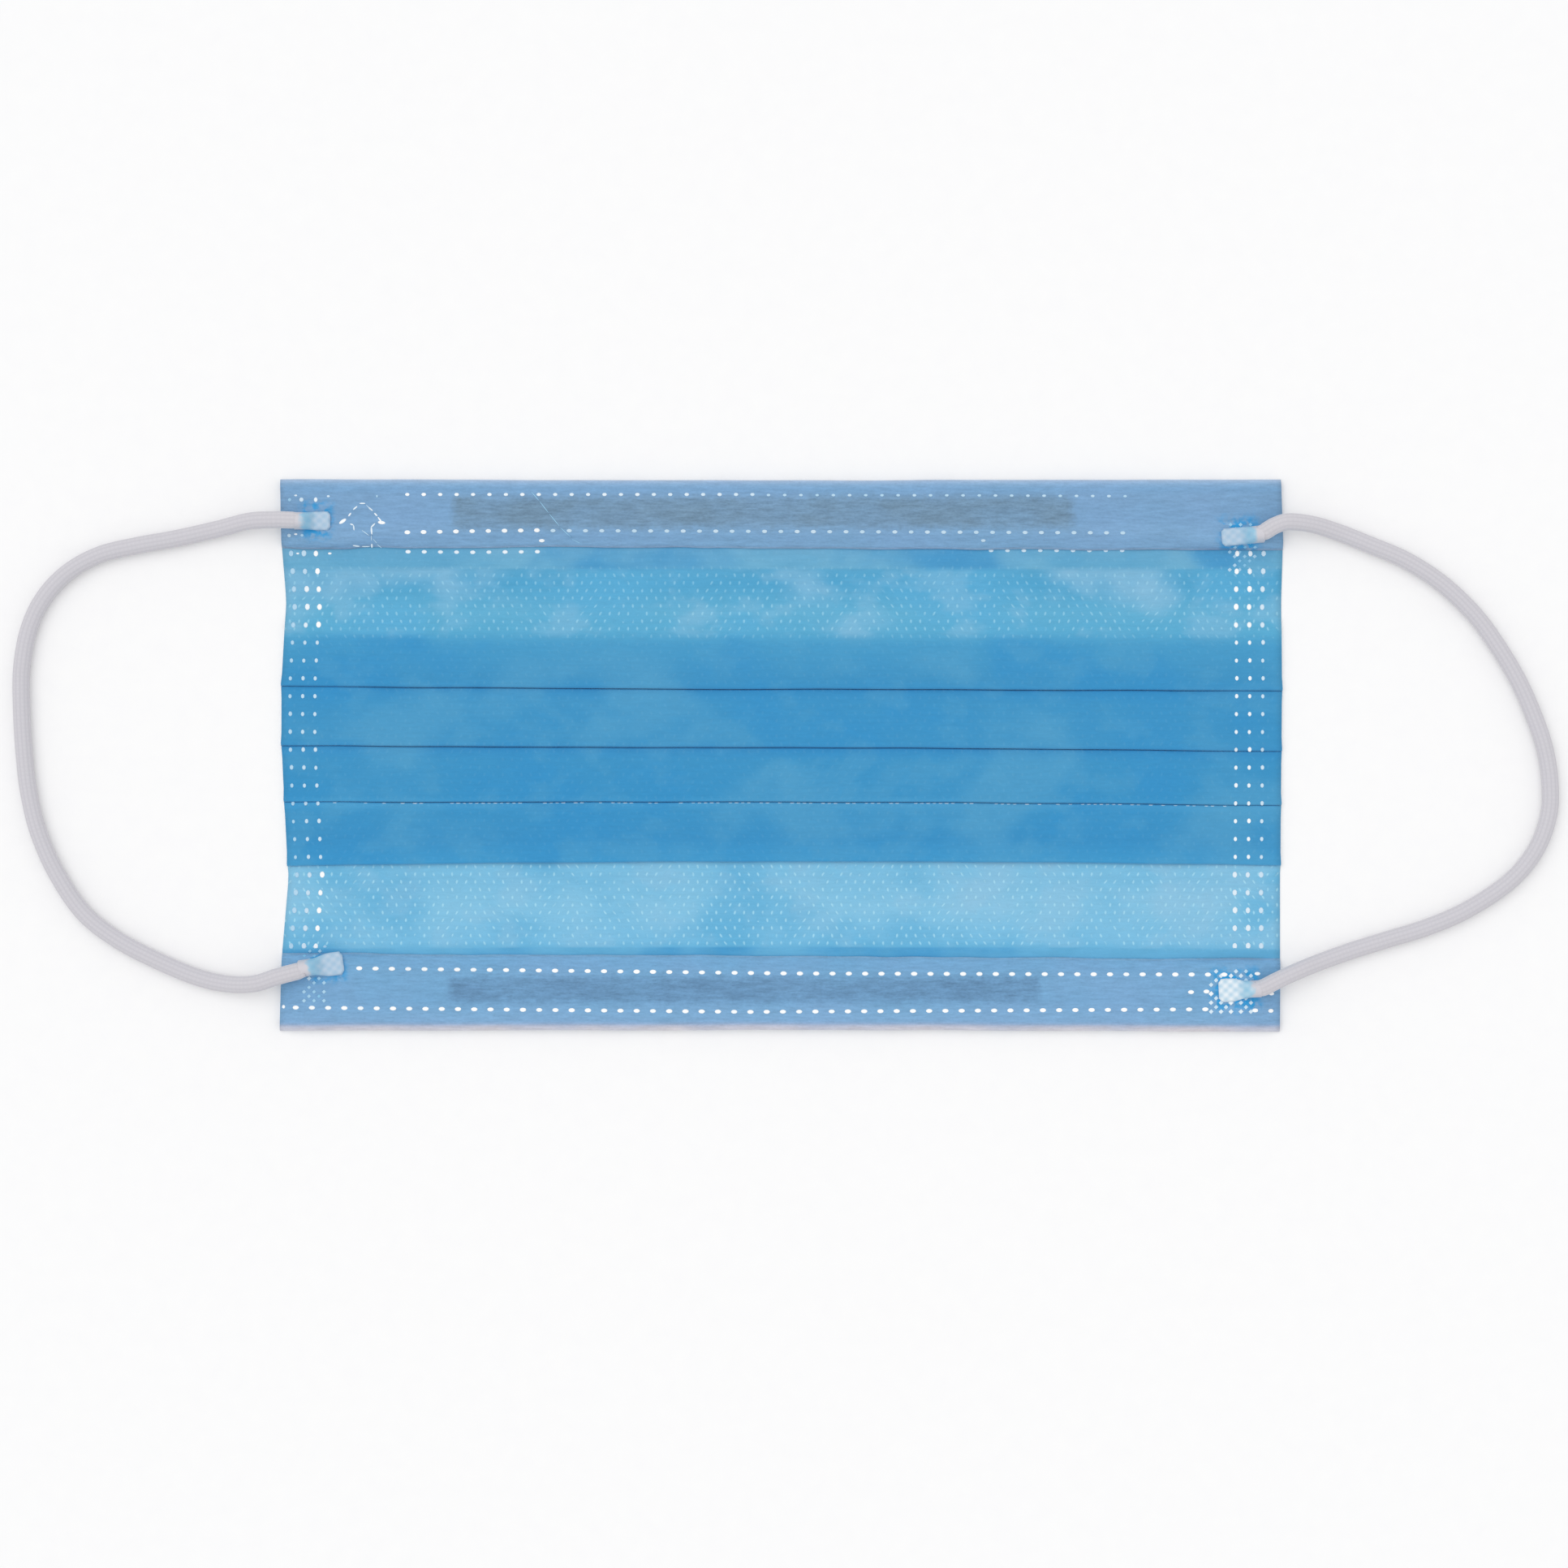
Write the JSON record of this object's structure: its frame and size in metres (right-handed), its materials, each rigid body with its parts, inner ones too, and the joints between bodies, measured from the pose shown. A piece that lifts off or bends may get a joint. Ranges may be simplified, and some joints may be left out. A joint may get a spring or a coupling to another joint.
{
  "type": "surgical face mask",
  "caption": "Flat-folded rectangular face mask with knife pleats, a hem along its top and bottom edges, stiffening strips inside the hems and a round elastic loop at each side.",
  "frame": {"origin": "on the surface the mask lies on, under the middle of the cloth body", "axes": "+X across the face along the hems, +Y towards the nose edge, +Z out of the blue outer face"},
  "size_m": [0.27, 0.0962, 0.0057],
  "materials": {
    "outer_cloth": "matt spunbond nonwoven, light blue, point embossed",
    "hem_cloth": "thin white nonwoven over blue, fine cross fibres",
    "strip": "soft rolled strip, satin",
    "welded_elastic": "pressed and fused, slightly glossy",
    "elastic": "soft knitted round elastic, matt, off white"
  },
  "bodies": {
    "root": {"pleated_panel": "outer_cloth", "top_hem": "hem_cloth", "bottom_hem": "hem_cloth", "nose_strip": "strip", "chin_strip": "strip", "left_top_weld": "welded_elastic", "left_bottom_weld": "welded_elastic", "right_top_weld": "welded_elastic", "right_bottom_weld": "welded_elastic", "left_ear_loop": "elastic", "right_ear_loop": "elastic"}
  },
  "joints": []
}
